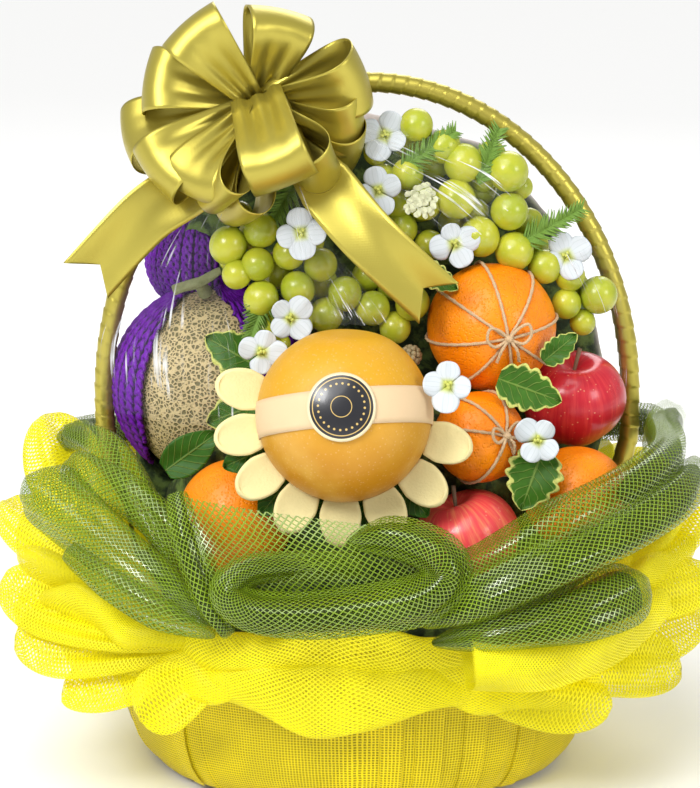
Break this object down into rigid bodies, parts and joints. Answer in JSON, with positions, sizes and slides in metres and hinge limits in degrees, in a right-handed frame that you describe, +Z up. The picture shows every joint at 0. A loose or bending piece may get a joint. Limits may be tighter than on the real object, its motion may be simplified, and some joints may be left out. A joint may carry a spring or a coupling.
{
  "type": "fruit gift basket",
  "caption": "Oval basket dressed in yellow and green net, filled with wrapped fruit, grapes, flowers and leaves under a hoop handle with a large satin bow.",
  "frame": {"origin": "centre of the basket's flat underside", "axes": "+Z up, +X to the right seen from the front, -Y towards the front"},
  "size_m": [0.4273, 0.3444, 0.464],
  "materials": {
    "wicker": "matt",
    "yellow_net": "matt mesh",
    "green_net": "glossy mesh",
    "satin_ribbon": "satin",
    "tissue": "matt",
    "melon_rind": "netted rind",
    "purple_sleeve": "knitted",
    "stem": "matt",
    "pear_skin": "smooth fruit skin",
    "band_paper": "matt",
    "sticker_print": "satin print",
    "foam": "matt foam",
    "orange_peel": "dimpled peel",
    "twine": "rough",
    "apple_skin": "smooth fruit skin",
    "grape_skin": "smooth fruit skin",
    "flower_petal": "matt",
    "leaf": "satin leaf",
    "pinecone": "matt"
  },
  "bodies": {
    "root": {"basket": "wicker", "wrap": "yellow_net", "net_yellow_upper": "yellow_net", "net_yellow_lower": "yellow_net", "net_green": "green_net", "handle": "satin_ribbon", "bow": "satin_ribbon", "backing": "tissue", "melon": "melon_rind", "melon_sleeve": "purple_sleeve", "second_sleeve": "purple_sleeve", "melon_stem": "stem", "pear": "pear_skin", "pear_band": "band_paper", "pear_sticker": "sticker_print", "foam_petals": "foam", "orange_top": "orange_peel", "orange_mid": "orange_peel", "orange_right": "orange_peel", "orange_left": "orange_peel", "twine_top": "twine", "twine_mid": "twine", "apple_right": "apple_skin", "apple_bottom": "apple_skin", "grapes_left": "grape_skin", "grapes_right": "grape_skin", "flower_1": "flower_petal", "flower_2": "flower_petal", "flower_3": "flower_petal", "flower_4": "flower_petal", "flower_5": "flower_petal", "flower_6": "flower_petal", "flower_7": "flower_petal", "flower_8": "flower_petal", "flower_9": "flower_petal", "blossom": "flower_petal", "leaf_1": "leaf", "leaf_2": "leaf", "leaf_3": "leaf", "leaf_4": "leaf", "leaf_5": "leaf", "leaf_6": "leaf", "leaf_7": "leaf", "leaf_8": "leaf", "leaf_9": "leaf", "leaf_10": "leaf", "leaf_11": "leaf", "leaf_12": "leaf", "sprig_1": "leaf", "sprig_2": "leaf", "sprig_3": "leaf", "sprig_4": "leaf", "sprig_5": "leaf", "pinecone": "pinecone"}
  },
  "joints": []
}
